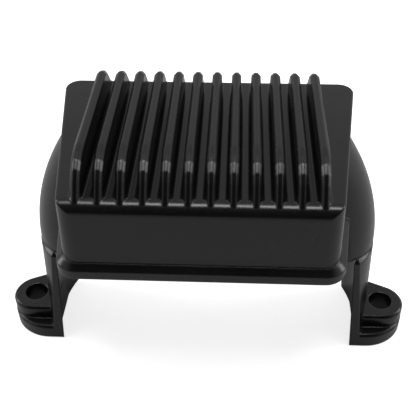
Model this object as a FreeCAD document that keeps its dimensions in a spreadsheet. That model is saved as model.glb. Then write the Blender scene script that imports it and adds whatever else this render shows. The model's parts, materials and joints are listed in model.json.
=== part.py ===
import FreeCAD, Part
import math
import os

import Sketcher

# Voltage regulator rectifier: a finned aluminium casting on two legs, potted from behind.
# The origin is midway between the two bolt holes, on the face that meets the vehicle.
# X runs along the row of holes, Y from the front of the box to its back, Z out through the fins.

doc = FreeCAD.newDocument("voltage_regulator")
V = FreeCAD.Vector

# Driving sizes in millimetres, angles in degrees
SIZES = {
    # Ears with the bolt holes
    "hole_offset": 5.2,
    "hole_bore": 8.6,
    "lug_radius": 8.6,
    "lug_height": 11.0,
    "lug_turn": 65.0,
    "foot_height": 5.6,
    "foot_radius": 15.0,
    "foot_inset": 6.0,
    "foot_setback": 1.7,
    "foot_turn": 45.0,
    "ear_edge": 0.8,
    # Side walls and cheeks
    "leg_front": 13.3,
    "cheek_middle": 2.2,
    "leg_reach": 61.3,
    "leg_lean": 1.5,
    "leg_bend_foot": 44.0,
    "leg_bend_head": 21.7,
    "hollow_bend_head": 27.0,
    "leg_height": 44.0,
    "leg_wall": 3.6,
    "leg_edge": 1.2,
    "cheek_lap": 2.0,
    "cheek_top": 84.0,
    "cheek_arc": 75.0,
    "cheek_round": 17.0,
    "cheek_hollow": 58.0,
    # Box under the fins
    "plate_top": 86.5,
    "plate_front": 37.3,
    "plate_depth": 70.4,
    "front_width": 82.4,
    "back_width": 102.4,
    "box_height": 26.5,
    "box_draft": 1.8,
    "corner_round": 5.0,
    "fold_round": 4.0,
    "plate_edge": 0.9,
    "rim_reach": 2.0,
    "rim_height": 3.0,
    "plate_thickness": 4.0,
    "box_wall": 4.4,
    "tub_round": 3.0,
    # Fins
    "fin_count": 12,
    "fin_pitch": 6.51,
    "fin_height": 10.0,
    "fin_thickness": 3.1,
    "fin_crest": 1.0,
    "fin_root": 0.9,
    "fin_run_in": 0.15,
    "fin_back_gap": 1.0,
    "fin_slope": 52.0,
    "fin_back_run": 8.3,
    "fin_back_ease": 2.2,
    "fin_bend": 14.0,
    # Board, its bosses and screws
    "pad_gap": 1.2,
    "pad_inset": 2.0,
    "pad_thickness": 0.5,
    "board_ease": 1.2,
    "board_front_gap": 7.4,
    "board_back_gap": 0.2,
    "board_thickness": 1.6,
    "board_drop": 12.5,
    "boss_radius": 3.2,
    "boss_inset": 3.6,
    "screw_radius": 1.25,
    "screw_length": 8.0,
    "screw_head_radius": 2.3,
    "screw_head_height": 1.7,
    # Power devices
    "device_width": 15.6,
    "device_depth": 20.0,
    "device_thickness": 4.8,
    "device_pitch": 19.0,
    "device_row": 12.2,
    "lead_pitch": 5.0,
    "lead_width": 1.2,
    "lead_thickness": 0.6,
    # Small components under the board
    "chip_length": 10.0,
    "chip_width": 7.0,
    "chip_thickness": 2.0,
    "capacitor_length": 7.3,
    "capacitor_width": 4.3,
    "capacitor_height": 2.9,
    "resistor_length": 6.4,
    "resistor_width": 3.2,
    "resistor_thickness": 0.7,
    "resistor_pitch": 5.0,
    "part_row": 17.0,
    # Potting and plug sockets
    "potting_drop": 1.5,
    "socket_depth": 16.0,
    "socket_length": 20.0,
    "socket_wall": 1.8,
    "socket_floor": 2.4,
    "socket_round": 3.0,
    "stator_width": 36.0,
    "output_width": 27.0,
    "socket_gap": 9.0,
    "blade_width": 6.3,
    "blade_thickness": 0.8,
    "blade_reach": 12.0,
    "blade_pitch": 9.4,
    "key_width": 4.0,
    "key_height": 1.2,
    "key_length": 15.0,
}

sheet = doc.addObject("Spreadsheet::Sheet", "Sizes")
for row, (alias, number) in enumerate(SIZES.items(), start=1):
    sheet.set("A%d" % row, alias.replace("_", " "))
    sheet.set("B%d" % row, str(number))
    sheet.setAlias("B%d" % row, alias)
doc.recompute()


class Size:
    """A value that knows its number and the sheet formula that gives it."""

    def __init__(self, number, formula):
        self.number = float(number)
        self.formula = formula

    def __add__(self, other):
        other = as_size(other)
        return Size(self.number + other.number, "(%s + %s)" % (self.formula, other.formula))

    def __sub__(self, other):
        other = as_size(other)
        return Size(self.number - other.number, "(%s - %s)" % (self.formula, other.formula))

    def __mul__(self, other):
        other = as_size(other)
        return Size(self.number * other.number, "(%s * %s)" % (self.formula, other.formula))

    def __truediv__(self, other):
        other = as_size(other)
        return Size(self.number / other.number, "(%s / %s)" % (self.formula, other.formula))

    def __neg__(self):
        return Size(-self.number, "(0 - %s)" % self.formula)


def as_size(value):
    if isinstance(value, Size):
        return value
    return Size(value, repr(float(value)))


def get(alias):
    return Size(SIZES[alias], "Sizes.%s" % alias)


def root(value):
    return Size(math.sqrt(value.number), "sqrt(%s)" % value.formula)


def sine(angle):
    return Size(math.sin(math.radians(angle.number)), "sin(%s)" % angle.formula)


def cosine(angle):
    return Size(math.cos(math.radians(angle.number)), "cos(%s)" % angle.formula)


def tangent(angle):
    return Size(math.tan(math.radians(angle.number)), "tan(%s)" % angle.formula)


ZERO = as_size(0)


def bind(thing, **sizes):
    """Bind properties to their formulas; two underscores stand for a dot."""
    for name, value in sizes.items():
        thing.setExpression(name.replace("__", "."), as_size(value).formula)


def place(thing, x=ZERO, y=ZERO, z=ZERO):
    bind(thing, Placement__Base__x=x, Placement__Base__y=y, Placement__Base__z=z)


def new_body(name):
    return doc.addObject("PartDesign::Body", name)


def origin_plane(body, role):
    return [item for item in body.Origin.OriginFeatures if item.Role == role][0]


def new_sketch(body, name, role, offset=ZERO):
    """A sketch on an origin plane of its own body, moved along that plane's normal."""
    sketch = body.newObject("Sketcher::SketchObject", name)
    sketch.AttachmentSupport = [(origin_plane(body, role), "")]
    sketch.MapMode = "FlatFace"
    sketch.setExpression("AttachmentOffset.Base.z", as_size(offset).formula)
    return sketch


def fix_number(sketch, kind, value, *where):
    """A dimension held by a formula."""
    index = sketch.addConstraint(Sketcher.Constraint(kind, *where, value.number))
    sketch.setExpression("Constraints[%d]" % index, value.formula)


def fix_point(sketch, geometry, end, x, y):
    """Hold a point at x, y from the sketch's origin."""
    if x is ZERO:
        sketch.addConstraint(Sketcher.Constraint("PointOnObject", geometry, end, -2))
    else:
        fix_number(sketch, "DistanceX", x, -1, 1, geometry, end)
    if y is ZERO:
        sketch.addConstraint(Sketcher.Constraint("PointOnObject", geometry, end, -1))
    else:
        fix_number(sketch, "DistanceY", y, -1, 1, geometry, end)


def arc_between(start, finish, radius, turn):
    """Short arc from start to finish; turn is 1 for anticlockwise and -1 for clockwise."""
    middle = (start + finish) * 0.5
    along = finish - start
    half = along.Length / 2
    lift = math.sqrt(max(radius * radius - half * half, 0.0)) * turn
    side = V(-along.y, along.x, 0).normalize()
    centre = middle + side * lift
    angles = [math.atan2(point.y - centre.y, point.x - centre.x) for point in (start, finish)]
    if turn < 0:
        angles.reverse()
    return Part.ArcOfCircle(Part.Circle(centre, V(0, 0, 1), radius), angles[0], angles[1])


def draw_outline(sketch, corners):
    """Closed outline. Each corner is x, y and, where an arc leaves it, a radius and its turn."""
    count = len(corners)
    points = [V(as_size(c[0]).number, as_size(c[1]).number, 0) for c in corners]
    ends = []
    for index, corner in enumerate(corners):
        start, finish = points[index], points[(index + 1) % count]
        if len(corner) > 2:
            radius, turn = corner[2], corner[3]
            number = sketch.addGeometry(arc_between(start, finish, radius.number, turn), False)
            ends.append((number, 1, 2) if turn > 0 else (number, 2, 1))
        else:
            number = sketch.addGeometry(Part.LineSegment(start, finish), False)
            ends.append((number, 1, 2))
    for index, corner in enumerate(corners):
        number, first, last = ends[index]
        following, next_first, next_last = ends[(index + 1) % count]
        sketch.addConstraint(Sketcher.Constraint("Coincident", number, last, following, next_first))
        fix_point(sketch, number, first, corner[0], corner[1])
        if len(corner) > 2:
            fix_number(sketch, "Radius", corner[2], number)


def draw_circle(sketch, radius, x, y):
    centre = V(as_size(x).number, as_size(y).number, 0)
    number = sketch.addGeometry(Part.Circle(centre, V(0, 0, 1), radius.number), False)
    fix_point(sketch, number, 3, x, y)
    fix_number(sketch, "Radius", radius, number)


def draw_box(sketch, left, right, low, high):
    draw_outline(sketch, [(left, low), (right, low), (right, high), (left, high)])


def pad(body, sketch, name, length, reverse=False, symmetric=False, taper=None):
    feature = body.newObject("PartDesign::Pad", name)
    feature.Profile = sketch
    feature.Reversed = reverse
    if symmetric:
        feature.SideType = "Symmetric"
    bind(feature, Length=length)
    if taper is not None:
        bind(feature, TaperAngle=taper)
    return feature


def pocket(body, sketch, name, length=None, reverse=False, symmetric=False):
    """A cut: to a depth, or right through where no depth is given."""
    feature = body.newObject("PartDesign::Pocket", name)
    feature.Profile = sketch
    feature.Reversed = reverse
    if symmetric:
        feature.SideType = "Symmetric"
    if length is None:
        feature.Type = "ThroughAll"
    else:
        bind(feature, Length=length)
    return feature


def loft(body, kind, name, sections):
    feature = body.newObject("PartDesign::%s" % kind, name)
    feature.Ruled = len(sections) == 2
    feature.Profile = sections[0]
    feature.Sections = sections[1:]
    feature.Refine = True
    return feature


def edges_where(feature, test):
    doc.recompute()
    edges = feature.Shape.Edges
    return ["Edge%d" % number for number, edge in enumerate(edges, start=1) if test(edge)]


def box_of(edge):
    return edge.BoundBox


def near(first, second, gap=0.05):
    return abs(first - as_size(second).number) < gap


def chamfer(body, base, name, size, test):
    feature = body.newObject("PartDesign::Chamfer", name)
    feature.Base = (base, edges_where(base, test))
    bind(feature, Size=size)
    return feature


def fillet(body, base, name, radius, test):
    feature = body.newObject("PartDesign::Fillet", name)
    feature.Base = (base, edges_where(base, test))
    bind(feature, Radius=radius)
    return feature


# Shared places
hole_x = get("leg_reach") + get("hole_offset")
leg_front_y = -get("leg_front")
half_leg = get("leg_front") + get("cheek_middle")
leg_back_y = get("cheek_middle") + half_leg
cheek_foot = get("leg_height") - get("cheek_lap")
box_bottom = get("plate_top") - get("box_height")
plate_front_y = -get("plate_front")
plate_back_y = get("plate_depth") - get("plate_front")
ceiling = get("plate_top") - get("plate_thickness")
board_width = get("front_width") - (get("box_wall") - get("board_ease")) * 2
board_front_y = plate_front_y + get("box_wall") + get("board_front_gap")
board_back_y = plate_back_y - get("box_wall") - get("board_back_gap")
board_depth = board_back_y - board_front_y
board_middle = (board_front_y + board_back_y) / 2
boss_x = board_width / 2 - get("boss_inset")
boss_y = board_depth / 2 - get("boss_inset")
board_top = ceiling - get("board_drop") + get("board_thickness")
board_under = ceiling - get("board_drop")
potting_face = box_bottom + get("potting_drop")


def draw_trapezium(sketch, growth, corner):
    """The box's plan, grown outwards all round, with rounded corners."""
    slope = (get("back_width") - get("front_width")) / 2 / get("plate_depth")
    stretch = root(slope * slope + 1)
    front = plate_front_y - growth
    back = plate_back_y + growth
    half_front = get("front_width") / 2 + growth * (stretch - slope)
    half_back = get("back_width") / 2 + growth * (stretch + slope)
    front_cut = corner / (stretch + slope)
    back_cut = corner / (stretch - slope)
    side_front = (half_front + front_cut * slope / stretch, front + front_cut / stretch)
    side_back = (half_back - back_cut * slope / stretch, back - back_cut / stretch)
    draw_outline(sketch, [
        (-(half_front - front_cut), front),
        (half_front - front_cut, front, corner, 1),
        side_front,
        (side_back[0], side_back[1], corner, 1),
        (half_back - back_cut, back),
        (-(half_back - back_cut), back, corner, 1),
        (-side_back[0], side_back[1]),
        (-side_front[0], side_front[1], corner, 1),
    ])


# Cheeks and side walls: two shells that bulge out from under the plate and run down to the feet
def cheek_outline(sketch, reach, bend, half_depth):
    """Both cheeks in one outline: a bowed end on each side, straight across the front and back."""
    corner = reach - bend + root(bend * bend - half_depth * half_depth)
    front = get("cheek_middle") - half_depth
    back = get("cheek_middle") + half_depth
    draw_outline(sketch, [
        (corner, front, bend, 1),
        (corner, back),
        (-corner, back, bend, 1),
        (-corner, front),
    ])


def cheek_reach(height):
    """Half width of the bulge: upright up to the cheek's foot, then a wide arc in to the plate."""
    arc = get("cheek_arc")
    rise = height - cheek_foot
    return get("leg_reach") - get("leg_lean") - arc + root(arc * arc - rise * rise)


def build_cheeks():
    body = new_body("cheeks")
    wall = get("leg_wall")

    foot = new_sketch(body, "leg_foot", "XY_Plane")
    cheek_outline(foot, get("leg_reach"), get("leg_bend_foot"), half_leg)
    shoulder = new_sketch(body, "leg_shoulder", "XY_Plane", get("leg_height") - get("leg_edge"))
    cheek_outline(shoulder, get("leg_reach") - get("leg_lean"), get("leg_bend_head"), half_leg)
    loft(body, "AdditiveLoft", "legs", [foot, shoulder])

    # The top of each leg narrows where the cheek grows out of it
    head = new_sketch(body, "leg_head", "XY_Plane", get("leg_height"))
    edge = get("leg_edge")
    cheek_outline(head, get("leg_reach") - get("leg_lean") - edge, get("leg_bend_head") - edge, half_leg - edge)
    loft(body, "AdditiveLoft", "leg_tops", [shoulder, head])

    # The bulging cheek, as level slices of one shape that follow the wide arc
    slices = []
    levels = 5
    for index in range(levels):
        rise = (get("cheek_top") - cheek_foot) * (index / (levels - 1))
        height = cheek_foot + rise
        sketch = new_sketch(body, "cheek_slice_%d" % index, "XY_Plane", height)
        cheek_outline(sketch, cheek_reach(height), get("cheek_round"), half_leg)
        slices.append(sketch)
    loft(body, "AdditiveLoft", "cheek_bulge", slices)

    # Hollow between the legs, a little longer than they are deep so that both ends stay open
    inner_foot = new_sketch(body, "hollow_foot", "XY_Plane")
    inner_depth = half_leg + 0.5
    cheek_outline(inner_foot, get("leg_reach") - wall, get("leg_bend_foot") - wall, inner_depth)
    inner_head = new_sketch(body, "hollow_head", "XY_Plane", get("leg_height"))
    cheek_outline(inner_head, get("leg_reach") - get("leg_lean") - wall, get("hollow_bend_head"), inner_depth)
    loft(body, "SubtractiveLoft", "leg_hollow", [inner_foot, inner_head])

    # Hollow of the cheeks above it, closed at the front and back by the cheek itself
    start = get("leg_height") - 1.0
    core = new_sketch(body, "cheek_core", "XY_Plane", start)
    cheek_outline(core, cheek_reach(get("cheek_hollow")) - wall, get("cheek_round") - wall, half_leg - wall)
    pocket(body, core, "cheek_hollow_cut", get("cheek_hollow") - start, reverse=True)

    # Between the cheeks the space under the box is clear
    clear = new_sketch(body, "clear_outline", "XY_Plane")
    half_clear = get("front_width") / 2 - 1.0
    draw_box(clear, -half_clear, half_clear, leg_front_y - 2, leg_back_y + 2)
    pocket(body, clear, "clear_under_box", get("plate_top"), reverse=True)
    return body


# Fins: one fin with a rounded crest, then the row
def build_fins():
    body = new_body("fins")
    first = get("fin_pitch") * ((get("fin_count") - 1) / -2)
    base = get("plate_top") - 1.5
    crest = get("plate_top") + get("fin_height")
    back = plate_back_y - get("fin_back_gap")

    # A long bend, in four straight steps, leads from the level crest to a slope that runs out
    # into the fold of the plate
    slope = get("fin_slope")
    bend = get("fin_bend")
    fold = get("fold_round")
    front = plate_front_y + fold - fold * tangent(slope / 2) + get("fin_run_in")
    bend_y = front + get("fin_height") / tangent(slope) + bend * tangent(slope / 2)
    nose_y = front - (get("plate_top") - base) / tangent(slope)
    bend_points = []
    for step in range(1, 5):
        angle = slope * (step / 4)
        bend_points.append((bend_y - bend * sine(angle), crest - bend + bend * cosine(angle)))

    # At the back the crest eases into the slope that falls to the plate
    run = get("fin_back_run")
    rise = get("fin_height")
    length = root(run * run + rise * rise)
    ease = get("fin_back_ease")

    profile = new_sketch(body, "fin_profile", "YZ_Plane", first)
    draw_outline(profile, [
        (nose_y, base),
        (back, base),
        (back, get("plate_top")),
        (back - run + ease * (run / length), crest - ease * (rise / length)),
        (back - run - ease, crest),
        (bend_y, crest),
    ] + bend_points)
    fin = pad(body, profile, "fin", get("fin_thickness"), symmetric=True)

    def crest_edge(edge):
        box = box_of(edge)
        above = box.ZMax > get("plate_top").number + 0.5
        across = abs(box.XLength) > get("fin_thickness").number * 0.6
        return above and not across

    chamfer(body, fin, "fin_crest_edges", get("fin_crest"), crest_edge)

    # Hollow rounding along the root of both flanks, behind the fold of the plate
    root_round = get("fin_root")
    half = get("fin_thickness") / 2
    root_back = back - root_round
    root_front = plate_front_y + fold
    root_plan = new_sketch(body, "fin_root_plan", "XZ_Plane", -root_back)
    draw_outline(root_plan, [
        (first - half - root_round, base),
        (first + half + root_round, base),
        (first + half + root_round, get("plate_top"), root_round, -1),
        (first + half, get("plate_top") + root_round),
        (first - half, get("plate_top") + root_round, root_round, -1),
        (first - half - root_round, get("plate_top")),
    ])
    pad(body, root_plan, "fin_root_round", root_back - root_front)

    row = body.newObject("PartDesign::LinearPattern", "fin_row")
    row.TransformMode = "Whole shape"
    row.Direction = (origin_plane(body, "YZ_Plane"), [""])
    row.Mode = "Spacing"
    bind(row, Offset=get("fin_pitch"), Occurrences=get("fin_count"))
    body.Tip = row
    return body


# Ears: a wide foot and a taller lug around each bolt hole
def build_ears():
    body = new_body("ears")
    inner = get("leg_reach") - get("leg_wall") - 0.6
    foot_x = hole_x - get("foot_inset")
    foot_radius = get("foot_radius")
    turned_x = foot_x + foot_radius * cosine(get("foot_turn"))
    turned_y = get("foot_setback") + foot_radius * sine(get("foot_turn"))
    foot_plan = new_sketch(body, "foot_plan", "XY_Plane")
    draw_outline(foot_plan, [
        (inner, get("foot_setback") - foot_radius),
        (foot_x, get("foot_setback") - foot_radius, foot_radius, 1),
        (turned_x, turned_y),
        (inner, turned_y),
    ])
    foot = pad(body, foot_plan, "foot", get("foot_height"))

    # The upper edges are broken, apart from the ones that end up inside the side wall
    def outer_edge(height):
        def test(edge):
            box = box_of(edge)
            level = near(box.ZMin, height) and near(box.ZMax, height)
            return level and box.XMax > inner.number + 0.1
        return test

    chamfer(body, foot, "foot_edges", get("ear_edge"), outer_edge(get("foot_height")))

    lug_radius = get("lug_radius")
    lug_turn = get("lug_turn")
    lug_x = hole_x + lug_radius * cosine(lug_turn)
    lug_y = lug_radius * sine(lug_turn)
    lug_plan = new_sketch(body, "lug_plan", "XY_Plane")
    draw_outline(lug_plan, [
        (inner, -lug_radius),
        (hole_x, -lug_radius, lug_radius, 1),
        (lug_x, lug_y),
        (inner, lug_y + (lug_x - inner) / tangent(lug_turn)),
    ])
    lug = pad(body, lug_plan, "lug", get("lug_height"))

    chamfer(body, lug, "lug_edges", get("ear_edge"), outer_edge(get("lug_height")))
    both = body.newObject("PartDesign::Mirrored", "both_ears")
    both.TransformMode = "Whole shape"
    both.MirrorPlane = (origin_plane(body, "YZ_Plane"), [""])
    body.Tip = both
    return body


def build_housing():
    body = new_body("housing")
    # Box: a trapezium in plan that widens to the back, drafted outwards down to its rim
    plan = new_sketch(body, "plate_plan", "XY_Plane", get("plate_top"))
    draw_trapezium(plan, ZERO, get("corner_round"))
    box = pad(body, plan, "box", get("box_height"), reverse=True, taper=get("box_draft"))

    def top_edge(edge):
        return near(box_of(edge).ZMin, get("plate_top"))

    fillet(body, box, "plate_edge_round", get("plate_edge"), top_edge)

    # Rim around the open back of the box, with a sloping flare above it
    spread = get("box_height") * tangent(get("box_draft")) + get("rim_reach")
    rim_plan = new_sketch(body, "rim_plan", "XY_Plane", box_bottom)
    draw_trapezium(rim_plan, spread, get("corner_round") + get("rim_reach"))
    rim = pad(body, rim_plan, "rim", get("rim_height") + get("rim_reach"))
    doc.recompute()
    level = box_bottom + get("rim_height") + get("rim_reach")
    ledge = [face for face in rim.Shape.Faces
             if near(face.BoundBox.ZMin, level) and near(face.BoundBox.ZMax, level)][0]

    def rim_top(edge):
        return any(edge.isSame(other) for other in ledge.OuterWire.Edges)

    chamfer(body, rim, "rim_flare", get("rim_reach") - 0.05, rim_top)

    # Rounded fold along the front of the top plate
    fold = get("fold_round")
    drift = fold * tangent(get("box_draft"))
    spandrel = new_sketch(body, "fold_spandrel", "YZ_Plane")
    draw_outline(spandrel, [
        (plate_front_y + fold, get("plate_top"), fold, 1),
        (plate_front_y - drift, get("plate_top") - fold),
        (plate_front_y - fold, get("plate_top") - fold),
        (plate_front_y - fold, get("plate_top") + 1),
        (plate_front_y + fold, get("plate_top") + 1),
    ])
    folded = pocket(body, spandrel, "fold_round_cut", get("back_width"), symmetric=True)

    # Cheeks with the legs, and the row of fins, are cast in one with the box
    joined = body.newObject("PartDesign::Boolean", "cast_cheeks")
    joined.Type = "Fuse"
    joined.Group = [cheeks]
    joined = body.newObject("PartDesign::Boolean", "cast_fins")
    joined.Type = "Fuse"
    joined.Group = [fins]

    joined = body.newObject("PartDesign::Boolean", "cast_ears")
    joined.Type = "Fuse"
    joined.Group = [ears]

    # Bolt holes
    holes = new_sketch(body, "bolt_hole_plan", "XY_Plane")
    for side in (-1, 1):
        draw_circle(holes, get("hole_bore") / 2, hole_x * side, ZERO)
    pocket(body, holes, "bolt_holes", get("lug_height") + 1, reverse=True)

    # Tub in the back of the box for the electronics
    tub = new_sketch(body, "tub_plan", "XY_Plane", box_bottom)
    draw_trapezium(tub, -get("box_wall"), get("tub_round"))
    pocket(body, tub, "tub", get("box_height") - get("plate_thickness"), reverse=True)

    # Bosses under the top plate that carry the circuit board
    boss_plan = new_sketch(body, "boss_plan", "XY_Plane", board_top)
    bore_plan = new_sketch(body, "boss_bore_plan", "XY_Plane", board_top)
    for x_side in (-1, 1):
        for y_side in (-1, 1):
            x = boss_x * x_side
            y = boss_y * y_side + board_middle
            draw_circle(boss_plan, get("boss_radius"), x, y)
            draw_circle(bore_plan, get("screw_radius"), x, y)
    pad(body, boss_plan, "bosses", ceiling - board_top + 0.5)
    bore = get("screw_length") - get("board_thickness")
    pocket(body, bore_plan, "boss_bores", bore, reverse=True)
    return body


# Plain pieces made from primitives
def block(name, width, depth, height, x, y, z):
    """A box centred on x and y, standing on z."""
    piece = doc.addObject("Part::Box", name)
    bind(piece, Length=width, Width=depth, Height=height)
    place(piece, as_size(x) - width / 2, as_size(y) - depth / 2, z)
    return piece


def rod(name, radius, height, x, y, z):
    piece = doc.addObject("Part::Cylinder", name)
    bind(piece, Radius=radius, Height=height)
    place(piece, x, y, z)
    return piece


def join(name, pieces):
    joined = doc.addObject("Part::MultiFuse", name)
    joined.Shapes = pieces
    return joined


def cut(name, base, tool):
    result = doc.addObject("Part::Cut", name)
    result.Base = base
    result.Tool = tool
    return result


def gather(name, pieces):
    """Several separate solids that share one node."""
    group = doc.addObject("Part::Compound", name)
    group.Links = pieces
    return group


# Electronics: power devices pressed to the plate through a thermal pad, with a board behind them
def build_electronics():
    parts = []
    held = []
    middle = board_middle
    pad_bottom = ceiling - get("pad_thickness")
    pad_width = (boss_x - get("boss_radius") - get("pad_gap")) * 2
    pad_depth = board_depth - get("pad_inset") * 2
    parts.append(block("insulating_pad", pad_width, pad_depth, get("pad_thickness"), ZERO, middle, pad_bottom))

    device_bottom = pad_bottom - get("device_thickness")
    for index in range(6):
        column = index % 3 - 1
        side = 1 if index >= 3 else -1
        x = get("device_pitch") * column
        y = middle + get("device_row") * side
        name = "power_device_%d" % (index + 1)
        case = block(name + "_case", get("device_width"), get("device_depth"), get("device_thickness"),
                     x, y, device_bottom)
        pieces = [case]
        for place_in_row in (-1, 0, 1):
            lead_x = x + get("lead_pitch") * place_in_row
            lead_y = y + (get("device_depth") / 2 - get("lead_thickness")) * side
            drop = device_bottom - board_top + 0.5
            pieces.append(block("%s_lead_%d" % (name, place_in_row + 2), get("lead_width"),
                                get("lead_thickness"), drop, lead_x, lead_y, board_top))
        parts.append(join(name, pieces))

    board = block("board_blank", board_width, board_depth, get("board_thickness"),
                  ZERO, middle, board_under)
    held.append(board)
    corners = [(boss_x * x_side, boss_y * y_side + middle) for x_side in (-1, 1) for y_side in (-1, 1)]
    drills = []
    screws = []
    for number, (x, y) in enumerate(corners, start=1):
        drills.append(rod("board_drill_%d" % number, get("screw_radius"),
                          get("board_thickness") + 2, x, y, board_under - 1))
        shank = rod("screw_shank_%d" % number, get("screw_radius"), get("screw_length"), x, y, board_under)
        head = rod("screw_head_%d" % number, get("screw_head_radius"), get("screw_head_height"),
                   x, y, board_under - get("screw_head_height"))
        screws.append(join("screw_%d" % number, [shank, head]))
        # The resin closes round the boss and the head of each screw
        held.append(head)
        held.append(rod("boss_room_%d" % number, get("boss_radius"), ceiling - board_top, x, y, board_top))
    parts.append(cut("circuit_board", board, join("board_drills", drills)))
    parts.append(gather("board_screws", screws))

    # Components under the board, in the row behind the sockets
    row_y = middle + get("part_row")
    parts.append(block("control_chip", get("chip_length"), get("chip_width"), get("chip_thickness"),
                       ZERO, row_y, board_under - get("chip_thickness")))
    for number, side in ((1, -1), (2, 1)):
        x = (get("chip_length") / 2 + get("capacitor_length")) * side
        parts.append(block("capacitor_%d" % number, get("capacitor_length"), get("capacitor_width"),
                           get("capacitor_height"), x, row_y, board_under - get("capacitor_height")))
    for number in (1, 2, 3):
        x = board_width / -3.2
        y = row_y + get("resistor_pitch") * (number - 2)
        parts.append(block("resistor_%d" % number, get("resistor_length"), get("resistor_width"),
                           get("resistor_thickness"), x, y, board_under - get("resistor_thickness")))
    whole = ("circuit_board", "board_screws")
    held += [part for part in parts if part.Name not in whole]
    return parts, held


# Plug sockets: a moulded shell whose floor is held in the potting, with blades that reach the board
def build_socket(name, centre_x, width, blades):
    body = new_body(name + "_socket")
    depth = get("socket_depth")
    wall = get("socket_wall")
    mouth = potting_face + get("socket_floor") - get("socket_length")

    outline = new_sketch(body, name + "_outline", "XY_Plane", mouth)
    draw_box(outline, centre_x - width / 2, centre_x + width / 2, -depth / 2, depth / 2)
    shell = pad(body, outline, name + "_shell", get("socket_length"))

    def upright(edge):
        return near(box_of(edge).ZLength, get("socket_length"))

    rounded = fillet(body, shell, name + "_corners", get("socket_round"), upright)
    inside = new_sketch(body, name + "_inside", "XY_Plane", mouth)
    half_width = width / 2 - wall
    draw_box(inside, centre_x - half_width, centre_x + half_width, wall - depth / 2, depth / 2 - wall)
    hollow = pocket(body, inside, name + "_hollow", get("socket_length") - get("socket_floor"), reverse=True)

    def inner_upright(edge):
        box = box_of(edge)
        tall = near(box.ZLength, get("socket_length") - get("socket_floor"))
        return tall and box.YMax < depth.number / 2 - wall.number + 0.1

    fillet(body, hollow, name + "_inner_corners", get("socket_round") - wall, inner_upright)

    # Key rib on the outside that only lets the plug in one way round
    key = new_sketch(body, name + "_key_plan", "XY_Plane", mouth)
    draw_box(key, centre_x - get("key_width") / 2, centre_x + get("key_width") / 2,
             depth / -2 - get("key_height"), depth / -2 + 0.5)
    pad(body, key, name + "_key", get("key_length"))

    # Slots in the floor for the blades
    slots = new_sketch(body, name + "_slot_plan", "XY_Plane", potting_face)
    pieces = []
    for number in range(blades):
        x = centre_x + get("blade_pitch") * (number - (blades - 1) / 2)
        draw_box(slots, x - get("blade_width") / 2, x + get("blade_width") / 2,
                 get("blade_thickness") / -2, get("blade_thickness") / 2)
        tip = potting_face - get("blade_reach")
        blade = block("%s_blade_%d" % (name, number + 1), get("blade_width"), get("blade_thickness"),
                      board_under - tip, x, ZERO, tip)
        pieces.append(blade)
    pocket(body, slots, name + "_slots", get("socket_floor") + 1, reverse=True)
    return [body] + pieces


# Potting fills the tub around everything that is in it
def build_potting(held):
    body = new_body("potting_block")
    plan = new_sketch(body, "potting_plan", "XY_Plane", potting_face)
    draw_trapezium(plan, -get("box_wall"), get("tub_round"))
    pad(body, plan, "potting_fill", ceiling - potting_face)
    return cut("potting", body, gather("held_in_potting", held))


cheeks = build_cheeks()
fins = build_fins()
ears = build_ears()
housing = build_housing()
electronics, held = build_electronics()
span = get("stator_width") + get("output_width") + get("socket_gap")
stator = build_socket("stator", get("stator_width") / 2 - span / 2, get("stator_width"), 3)
output = build_socket("output", span / 2 - get("output_width") / 2, get("output_width"), 2)
potting = build_potting(held + stator + output)
nodes = [housing, potting] + electronics + stator + output

doc.recompute()
faults = [thing.Name for thing in doc.Objects if "Invalid" in thing.State or "Error" in thing.State]
for node in nodes:
    node.Label = node.Name
    if node.Shape.isNull() or not node.Shape.isValid() or not node.Shape.Solids:
        faults.append(node.Name)
if faults:
    raise RuntimeError("these did not build: %s" % ", ".join(faults))

os.makedirs("parts", exist_ok=True)
for node in nodes:
    node.Shape.exportStep("parts/%s.step" % node.Name)
    print(node.Name, len(node.Shape.Solids), round(node.Shape.Volume, 1))
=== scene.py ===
# %% [markdown]
# Voltage regulator rectifier, dressed for the studio
#
# The real object is one black powder-coated aluminium casting with its electronics potted into
# its open underside. Its whole character comes from gloss: the paint is nearly black, and what
# the eye reads as shape is the soft light that it mirrors. So this lesson spends its effort on
# three things: a believable powder coat, a good studio to be mirrored in it, and honest finishes
# for the resin, plastic, brass and laminate underneath.

import json

import bpy
from mathutils import Matrix, Vector

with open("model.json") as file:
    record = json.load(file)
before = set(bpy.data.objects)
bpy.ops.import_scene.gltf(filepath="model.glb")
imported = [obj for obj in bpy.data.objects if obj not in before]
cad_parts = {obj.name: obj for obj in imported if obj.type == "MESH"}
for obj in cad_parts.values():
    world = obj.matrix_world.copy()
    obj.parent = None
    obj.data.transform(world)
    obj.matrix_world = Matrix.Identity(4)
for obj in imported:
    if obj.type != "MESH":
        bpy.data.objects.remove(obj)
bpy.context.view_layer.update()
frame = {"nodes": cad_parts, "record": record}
nodes = frame["nodes"]


print("pieces from the CAD model:", len(nodes))

# %% [markdown]
# Look at the casting first
#
# The CAD solids arrive as fine facets and stay as they are: every shape of this part is already
# in them. What this script adds is finish and light. The casting is nearly all that is seen, so
# it pays to know how fine it is and how much of it is shaded smoothly.

# %% Count the facets of the casting
casting = nodes["housing"]
print("facets in the casting:", len(casting.data.polygons))
print("smooth shaded:", sum(1 for face in casting.data.polygons if face.use_smooth))

# %% [markdown]
# Camera
#
# A photograph of a product is taken from a place, and that place can be worked back from the
# lines in it. The two bolt holes, the plate's corners and the rim give enough of them: the
# camera stood in front, a little to the right, and looked down by forty degrees with a
# moderately long lens. We set its place and its three directions as they were found.

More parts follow.
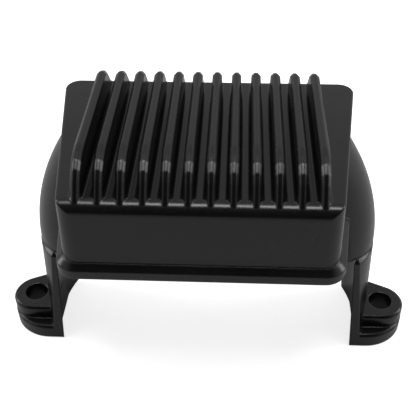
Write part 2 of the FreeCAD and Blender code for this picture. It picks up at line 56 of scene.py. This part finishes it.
# %% Place the camera
PHOTO_WIDTH = 416
FOCAL_PIXELS = 725.0
SENSOR = 36.0
CAMERA_PLACE = Vector((0.010339, -0.192837, 0.218060))
CAMERA_RIGHT = Vector((0.99903947, 0.04317345, -0.00749661))
CAMERA_UP = Vector((-0.02207404, 0.64363332, 0.76501561))
CAMERA_BACKWARD = Vector((0.03785343, -0.76411531, 0.6439681))

camera_data = bpy.data.cameras.new("photo_camera")
camera_data.sensor_width = SENSOR
camera_data.lens = SENSOR * FOCAL_PIXELS / PHOTO_WIDTH
camera_data.clip_start = 0.01
camera_data.clip_end = 20.0
camera = bpy.data.objects.new("photo_camera", camera_data)
bpy.context.scene.collection.objects.link(camera)

turn = Matrix((CAMERA_RIGHT, CAMERA_UP, CAMERA_BACKWARD)).transposed().to_4x4()
camera.matrix_world = Matrix.Translation(CAMERA_PLACE) @ turn
bpy.context.scene.camera = camera
print("lens in millimetres:", round(camera_data.lens, 2))

# %% [markdown]
# Shared effects as node groups
#
# Powder coat, moulded plastic and cast resin look different, but they share the same small
# effects: a fine unevenness of the surface, patches where the gloss changes, specks of dust, and
# edges that are a little brighter because they are rubbed. Each effect is built once as a node
# group with named inputs, and every material places it with its own values. These small helpers
# save repeating the same three or four lines for each node.


# %% Helpers for node groups
def start_group(name, inputs, outputs):
    """An empty node group: inputs with their usual values, outputs, all of them plain numbers."""
    group = bpy.data.node_groups.new(name, "ShaderNodeTree")
    for label, usual in inputs.items():
        socket = group.interface.new_socket(label, in_out="INPUT", socket_type="NodeSocketFloat")
        socket.default_value = usual
    for label in outputs:
        group.interface.new_socket(label, in_out="OUTPUT", socket_type="NodeSocketFloat")
    return group, group.nodes.new("NodeGroupInput"), group.nodes.new("NodeGroupOutput")


def object_place(tree):
    """Coordinates that are fixed to the piece, in metres."""
    return tree.nodes.new("ShaderNodeTexCoord").outputs["Object"]


def add_math(tree, operation, first, second=None, clamp=False):
    """One math node; each operand is a socket or a number."""
    node = tree.nodes.new("ShaderNodeMath")
    node.operation = operation
    node.use_clamp = clamp
    for slot, operand in enumerate((first, second)):
        if operand is None:
            continue
        if isinstance(operand, (int, float)):
            node.inputs[slot].default_value = operand
        else:
            tree.links.new(operand, node.inputs[slot])
    return node.outputs[0]


def add_range(tree, value, low, high, to_low=0.0, to_high=1.0):
    """Stretches a value from one range to another and clamps it there."""
    node = tree.nodes.new("ShaderNodeMapRange")
    tree.links.new(value, node.inputs["Value"])
    node.inputs["From Min"].default_value = low
    node.inputs["From Max"].default_value = high
    node.inputs["To Min"].default_value = to_low
    node.inputs["To Max"].default_value = to_high
    return node.outputs["Result"]


def add_noise(tree, position, scale, detail=3.0, roughness=0.55):
    """Noise in object space; the scale is a number or a socket."""
    node = tree.nodes.new("ShaderNodeTexNoise")
    tree.links.new(position, node.inputs["Vector"])
    if isinstance(scale, (int, float)):
        node.inputs["Scale"].default_value = scale
    else:
        tree.links.new(scale, node.inputs["Scale"])
    node.inputs["Detail"].default_value = detail
    node.inputs["Roughness"].default_value = roughness
    return node.outputs["Fac"]


print("helpers ready for Blender", bpy.app.version_string)

# %% [markdown]
# Skin of the surface
#
# Powder melts into a film that is never quite flat: there is a slow waviness like orange peel,
# and a much finer grain on top. Moulded plastic has the same two scales in other amounts. The
# group returns one height, which each material feeds to its own Bump node.

# %% Build the skin group
skin, skin_in, skin_out = start_group(
    "surface_skin",
    {"Peel per metre": 500.0, "Peel height": 0.5, "Grain per metre": 4000.0, "Grain height": 0.2},
    ["Height"],
)
place = object_place(skin)
peel = add_noise(skin, place, skin_in.outputs["Peel per metre"], detail=1.5)
grain = add_noise(skin, place, skin_in.outputs["Grain per metre"], detail=2.0)
peel_part = add_math(skin, "MULTIPLY", peel, skin_in.outputs["Peel height"])
grain_part = add_math(skin, "MULTIPLY", grain, skin_in.outputs["Grain height"])
skin.links.new(add_math(skin, "ADD", peel_part, grain_part), skin_out.inputs["Height"])
print("skin group sockets:", [item.name for item in skin.interface.items_tree])

# %% [markdown]
# Patches of gloss
#
# No coat is equally glossy all over. Handling, thickness and cooling leave soft patches, and a
# roughness that wanders by a few hundredths makes a highlight look real instead of computed.

# %% Build the gloss group
PATCH_FROM = 0.3
PATCH_TO = 0.7

gloss, gloss_in, gloss_out = start_group(
    "gloss_patches",
    {"Roughness": 0.35, "Spread": 0.06, "Patches per metre": 60.0},
    ["Roughness", "Patch"],
)
place = object_place(gloss)
broad = add_noise(gloss, place, gloss_in.outputs["Patches per metre"], detail=4.0, roughness=0.6)
patch = add_range(gloss, broad, PATCH_FROM, PATCH_TO)
centred = add_math(gloss, "SUBTRACT", patch, 0.5)
wander = add_math(gloss, "MULTIPLY", centred, gloss_in.outputs["Spread"])
gloss.links.new(add_math(gloss, "ADD", gloss_in.outputs["Roughness"], wander, clamp=True),
                gloss_out.inputs["Roughness"])
gloss.links.new(patch, gloss_out.inputs["Patch"])
print("gloss group sockets:", [item.name for item in gloss.interface.items_tree])

# %% [markdown]
# Rubbed edges
#
# Powder pulls back a little from sharp edges and every touch rubs them, so they turn slightly
# paler. The Pointiness of the mesh says how convex the surface is at each place: one half is
# flat, more is an edge. A fine noise breaks the pale line, because wear is never even.

# %% Build the edge group
EDGE_FROM = 0.53
EDGE_TO = 0.62
WEAR_FROM = 0.35
WEAR_TO = 0.6

edges, edges_in, edges_out = start_group(
    "edge_wear",
    {"Amount": 0.3, "Broken per metre": 900.0},
    ["Edge"],
)
place = object_place(edges)
pointy = edges.nodes.new("ShaderNodeNewGeometry").outputs["Pointiness"]
convex = add_range(edges, pointy, EDGE_FROM, EDGE_TO)
broken = add_noise(edges, place, edges_in.outputs["Broken per metre"], detail=3.0)
torn = add_range(edges, broken, WEAR_FROM, WEAR_TO)
worn = add_math(edges, "MULTIPLY", convex, torn)
edges.links.new(add_math(edges, "MULTIPLY", worn, edges_in.outputs["Amount"], clamp=True),
                edges_out.inputs["Edge"])
print("edge group sockets:", [item.name for item in edges.interface.items_tree])

# %% [markdown]
# Fine dust
#
# A part fresh from its box still carries a few specks. They are tiny, pale and matt, and on
# black paint they are the first thing the eye finds. Each cell of a Voronoi texture can hold one
# speck at its middle, and a broad noise lets them fall only here and there. The group returns
# their mask.

# %% Build the dust group
DRIFTS_PER_METRE = 90.0
DRIFT_FROM = 0.52
DRIFT_TO = 0.6

dust, dust_in, dust_out = start_group(
    "dust_specks",
    {"Specks per metre": 700.0, "Size": 0.1, "Amount": 0.3},
    ["Dust"],
)
place = object_place(dust)
cells = dust.nodes.new("ShaderNodeTexVoronoi")
cells.feature = "F1"
dust.links.new(place, cells.inputs["Vector"])
dust.links.new(dust_in.outputs["Specks per metre"], cells.inputs["Scale"])
near = add_math(dust, "LESS_THAN", cells.outputs["Distance"], dust_in.outputs["Size"])
drifts = add_range(dust, add_noise(dust, place, DRIFTS_PER_METRE, detail=2.0), DRIFT_FROM, DRIFT_TO)
fallen = add_math(dust, "MULTIPLY", near, drifts)
dust.links.new(add_math(dust, "MULTIPLY", fallen, dust_in.outputs["Amount"]), dust_out.inputs["Dust"])
print("dust group sockets:", [item.name for item in dust.interface.items_tree])

# %% [markdown]
# One recipe for every finish
#
# A finish here is a Principled shader with two colours, the groups above and a Bump node. The
# helper wires that recipe; what makes each finish its own are the numbers it is given. Values
# that are the same all over, such as being a metal or not, stay on the shader's own sockets.
# Where a cast edge is softly rounded, a Bevel node lets the light bend round it.

# %% Wire the recipe
DUST_COLOUR = (0.35, 0.34, 0.33)
BEVEL_SAMPLES = 8


def use_group(tree, group, **values):
    """Places a node group and sets its inputs by name, with spaces written as underscores."""
    node = tree.nodes.new("ShaderNodeGroup")
    node.node_tree = group
    for label, value in values.items():
        node.inputs[label.replace("_", " ")].default_value = value
    return node


def mix_colours(tree, amount, first, second):
    """Blends two colours; each is a socket or three numbers."""
    node = tree.nodes.new("ShaderNodeMix")
    node.data_type = "RGBA"
    tree.links.new(amount, node.inputs["Factor"])
    for label, colour in (("A", first), ("B", second)):
        socket = [item for item in node.inputs if item.name == label and item.type == "RGBA"][0]
        if isinstance(colour, tuple):
            socket.default_value = colour + (1.0,)
        else:
            tree.links.new(colour, socket)
    return [item for item in node.outputs if item.type == "RGBA"][0]


def finish_for(name, colour, other, edge_colour, roughness, spread=0.06, patches=60.0,
               peel=(500.0, 0.5), grain=(4000.0, 0.2), bump=0.1, reach=0.0002, edge=0.3,
               specks=0.0, metallic=0.0, soft_edge=0.0):
    """A procedural finish. Peel and grain are each a number per metre and a height."""
    material = bpy.data.materials.new(name)
    material.use_nodes = True
    tree = material.node_tree
    shader = tree.nodes["Principled BSDF"]
    shader.inputs["Metallic"].default_value = metallic

    sheen = use_group(tree, gloss, Roughness=roughness, Spread=spread, Patches_per_metre=patches)
    worn = use_group(tree, edges, Amount=edge)
    base = mix_colours(tree, sheen.outputs["Patch"], colour, other)
    base = mix_colours(tree, worn.outputs["Edge"], base, edge_colour)
    rough = sheen.outputs["Roughness"]
    if specks:
        powder = use_group(tree, dust, Amount=specks)
        base = mix_colours(tree, powder.outputs["Dust"], base, DUST_COLOUR)
        rough = add_math(tree, "ADD", rough, powder.outputs["Dust"], clamp=True)
    tree.links.new(base, shader.inputs["Base Color"])
    tree.links.new(rough, shader.inputs["Roughness"])

    surface = use_group(tree, skin, Peel_per_metre=peel[0], Peel_height=peel[1],
                        Grain_per_metre=grain[0], Grain_height=grain[1])
    relief = tree.nodes.new("ShaderNodeBump")
    relief.inputs["Strength"].default_value = bump
    relief.inputs["Distance"].default_value = reach
    tree.links.new(surface.outputs["Height"], relief.inputs["Height"])
    if soft_edge:
        rounding = tree.nodes.new("ShaderNodeBevel")
        rounding.samples = BEVEL_SAMPLES
        rounding.inputs["Radius"].default_value = soft_edge
        tree.links.new(rounding.outputs["Normal"], relief.inputs["Normal"])
    tree.links.new(relief.outputs["Normal"], shader.inputs["Normal"])
    return material


print("recipe ready, groups to place:", len(bpy.data.node_groups))

# %% [markdown]
# Powder coat on the casting
#
# The paint is a semi-gloss black. Its own colour returns only half a percent of the light, so
# nearly all that is seen is the film's reflection of about four percent, softened by a low
# roughness. Fine grain breaks that reflection up just enough to look like baked powder, and
# edges catch the light as if they were rounded by not quite a millimetre, as cast edges are.

# %% Make the powder coat
powder_coat = finish_for(
    "powder_coat_black",
    colour=(0.0042, 0.0042, 0.0046), other=(0.0056, 0.0056, 0.006), edge_colour=(0.03, 0.03, 0.032),
    roughness=0.24, spread=0.05, patches=70.0,
    peel=(420.0, 0.6), grain=(3600.0, 0.25), bump=0.1, reach=0.00025,
    edge=0.25, specks=0.12, soft_edge=0.0009,
)
print("powder coat nodes:", len(powder_coat.node_tree.nodes))

# %% [markdown]
# Finishes underneath
#
# Turn the part over and it is a different object: a pool of black resin with a soft, slightly
# sunken gloss, two moulded sockets with a satin skin, and bare brass blades. The buried pieces
# are never seen, but they are dressed as well, so that the model stays true when it is opened.

# %% Make the finishes underneath
finishes = {
    "powder_coated_casting": powder_coat,
    "potting_resin": finish_for(
        "potting_resin_black", (0.013, 0.012, 0.0115), (0.02, 0.019, 0.018), (0.03, 0.03, 0.03),
        roughness=0.32, spread=0.16, patches=45.0, peel=(110.0, 1.0), grain=(1500.0, 0.1),
        bump=0.35, reach=0.0006, edge=0.1, specks=0.2),
    "thermal_pad": finish_for(
        "thermal_pad_grey", (0.3, 0.31, 0.33), (0.36, 0.37, 0.39), (0.45, 0.45, 0.46),
        roughness=0.75, peel=(700.0, 0.6), grain=(5000.0, 0.6), bump=0.3),
    "device_plastic": finish_for(
        "epoxy_black", (0.014, 0.014, 0.014), (0.02, 0.02, 0.02), (0.05, 0.05, 0.05),
        roughness=0.55, grain=(6000.0, 0.7), bump=0.25),
    "board_laminate": finish_for(
        "laminate_green", (0.012, 0.09, 0.035), (0.02, 0.13, 0.05), (0.2, 0.22, 0.12),
        roughness=0.35, peel=(900.0, 0.3), grain=(2500.0, 0.5), bump=0.15),
    "screw_steel": finish_for(
        "zinc_plated_steel", (0.55, 0.55, 0.53), (0.66, 0.65, 0.62), (0.8, 0.8, 0.78),
        roughness=0.3, metallic=1.0, peel=(1500.0, 0.3), grain=(7000.0, 0.4), bump=0.15),
    "chip_plastic": finish_for(
        "chip_epoxy_black", (0.02, 0.02, 0.021), (0.028, 0.028, 0.03), (0.06, 0.06, 0.06),
        roughness=0.5, grain=(7000.0, 0.5), bump=0.2),
    "capacitor_block": finish_for(
        "moulded_capacitor", (0.5, 0.27, 0.06), (0.58, 0.32, 0.08), (0.7, 0.5, 0.25),
        roughness=0.45, grain=(7000.0, 0.4), bump=0.2),
    "resistor_ceramic": finish_for(
        "glazed_chip", (0.03, 0.03, 0.034), (0.045, 0.045, 0.05), (0.5, 0.5, 0.48),
        roughness=0.25, grain=(9000.0, 0.3), bump=0.1),
    "socket_plastic": finish_for(
        "socket_nylon_black", (0.016, 0.016, 0.017), (0.022, 0.022, 0.024), (0.07, 0.07, 0.07),
        roughness=0.48, spread=0.08, patches=120.0, peel=(900.0, 0.3), grain=(5200.0, 0.7),
        bump=0.28, edge=0.4),
    "blade_brass": finish_for(
        "brass_blade", (0.62, 0.45, 0.17), (0.72, 0.55, 0.24), (0.85, 0.7, 0.4),
        roughness=0.28, spread=0.14, patches=250.0, metallic=1.0,
        peel=(2500.0, 0.3), grain=(9000.0, 0.3), bump=0.15),
}
print("finishes:", len(finishes))

# %% [markdown]
# Give each piece its finish
#
# Every node names a material slot in the part's record. We walk through the record and put the
# matching finish into the node's slots, so no piece can be forgotten.

# %% Assign the finishes
for entry in frame["record"]["subparts"]:
    piece = nodes[entry["node"]]
    piece.data.materials.clear()
    piece.data.materials.append(finishes[entry["material_slot"]])

# %% [markdown]
# Floor
#
# The photograph stands on pure white. A large flat floor gives the object something to stand
# on. It lies half a millimetre below the ears, so that the two never touch.

# %% Lay the floor
FLOOR_SIZE = 6.0
FLOOR_DROP = 0.0005

half = FLOOR_SIZE / 2
corners = [(-half, -half, 0), (half, -half, 0), (half, half, 0), (-half, half, 0)]
floor_mesh = bpy.data.meshes.new("studio_floor")
floor_mesh.from_pydata(corners, [], [(0, 1, 2, 3)])
floor = bpy.data.objects.new("studio_floor", floor_mesh)
floor.location.z = -FLOOR_DROP
bpy.context.scene.collection.objects.link(floor)
print("floor size in metres:", FLOOR_SIZE)

# %% [markdown]
# Paper on the floor
#
# To the object the floor is a plain grey paper, which is what its glossy walls mirror. The
# camera sees the same paper as white, with a little light of its own, through Is Camera Ray, and
# the soft shadow stays on it. Seen from below the paper steps aside, so that the sockets in the
# underside can be looked at.

# %% Make the paper
PAPER_GREY = 0.62
PAPER_WHITE = 0.92
PAPER_GLOW = 0.75

paper = bpy.data.materials.new("studio_paper")
paper.use_nodes = True
paper_tree = paper.node_tree
paper_shader = paper_tree.nodes["Principled BSDF"]
paper_shader.inputs["Roughness"].default_value = 0.95
paper_shader.inputs["Specular IOR Level"].default_value = 0.1
paper_rays = paper_tree.nodes.new("ShaderNodeLightPath")
paper_white = mix_colours(paper_tree, paper_rays.outputs["Is Camera Ray"],
                          (PAPER_GREY,) * 3, (PAPER_WHITE,) * 3)
paper_tree.links.new(paper_white, paper_shader.inputs["Base Color"])
glow = add_math(paper_tree, "MULTIPLY", paper_rays.outputs["Is Camera Ray"], PAPER_GLOW)
paper_shader.inputs["Emission Color"].default_value = (1.0, 1.0, 1.0, 1.0)
paper_tree.links.new(glow, paper_shader.inputs["Emission Strength"])
side = paper_tree.nodes.new("ShaderNodeNewGeometry")
solid_above = add_math(paper_tree, "SUBTRACT", 1.0, side.outputs["Backfacing"])
paper_tree.links.new(solid_above, paper_shader.inputs["Alpha"])
floor_mesh.materials.append(paper)
print("paper nodes:", len(paper_tree.nodes))

# %% [markdown]
# Studio light
#
# Black paint needs lights with clear ends, because their mirrored shapes draw the form. One soft
# box hangs above the object and a little in front of it: it puts the bright stroke on each bend
# of the fins and on the fold between them. A tall panel on each side lifts the cheeks.

# %% Hang the lamps
LAMP_TARGET = (0.0, 0.0, 0.05)
SIDE_POWER = 2.4


def panel(name, place, target, width, height, power):
    """A rectangular area lamp that points at a target."""
    lamp = bpy.data.lights.new(name, "AREA")
    lamp.shape = "RECTANGLE"
    lamp.size = width
    lamp.size_y = height
    lamp.energy = power
    thing = bpy.data.objects.new(name, lamp)
    thing.location = place
    aim = Vector(target) - Vector(place)
    thing.rotation_euler = aim.to_track_quat("-Z", "Y").to_euler()
    bpy.context.scene.collection.objects.link(thing)


panel("top_soft_box", (0.0, -0.08, 1.0), LAMP_TARGET, width=0.5, height=0.24, power=3.3)
for name, x in (("left_panel", -0.9), ("right_panel", 0.9)):
    panel(name, (x, 0.15, 0.45), LAMP_TARGET, width=0.3, height=0.7, power=SIDE_POWER)

# %% [markdown]
# Room around the object
#
# The object stands in a light tent with an opening in front, where the photographer stands.
# That dark opening is why every face that looks that way is jet black. The world shader paints
# it by direction in the room: dark towards the front and above, pale elsewhere, with a soft
# border between the two. The cosine of the angle to the opening says how far a direction is from
# it. The direct view of the camera gets a plain white.

# %% Build the room
ROOM_LIGHT = 0.48
OPENING_LIGHT = 0.02
OPENING_DIRECTION = Vector((0.05, -0.82, 0.57)).normalized()
OPENING_COSINE = 0.82
BORDER_COSINE = 0.55

world = bpy.data.worlds.new("studio_room")
world.use_nodes = True
bpy.context.scene.world = world
room = world.node_tree
air = room.nodes["Background"]
direction = room.nodes.new("ShaderNodeTexCoord").outputs["Generated"]
towards = room.nodes.new("ShaderNodeVectorMath")
towards.operation = "DOT_PRODUCT"
room.links.new(direction, towards.inputs[0])
towards.inputs[1].default_value = OPENING_DIRECTION
pale = add_range(room, towards.outputs["Value"], OPENING_COSINE, BORDER_COSINE, OPENING_LIGHT, ROOM_LIGHT)
rays = room.nodes.new("ShaderNodeLightPath")
strength = room.nodes.new("ShaderNodeMix")
strength.data_type = "FLOAT"
room.links.new(rays.outputs["Is Camera Ray"], strength.inputs["Factor"])
room.links.new(pale, strength.inputs["A"])
strength.inputs["B"].default_value = 1.0
air.inputs["Color"].default_value = (1.0, 1.0, 1.0, 1.0)
room.links.new(strength.outputs["Result"], air.inputs["Strength"])
bpy.context.scene.view_settings.view_transform = "Standard"
print("view transform:", bpy.context.scene.view_settings.view_transform)
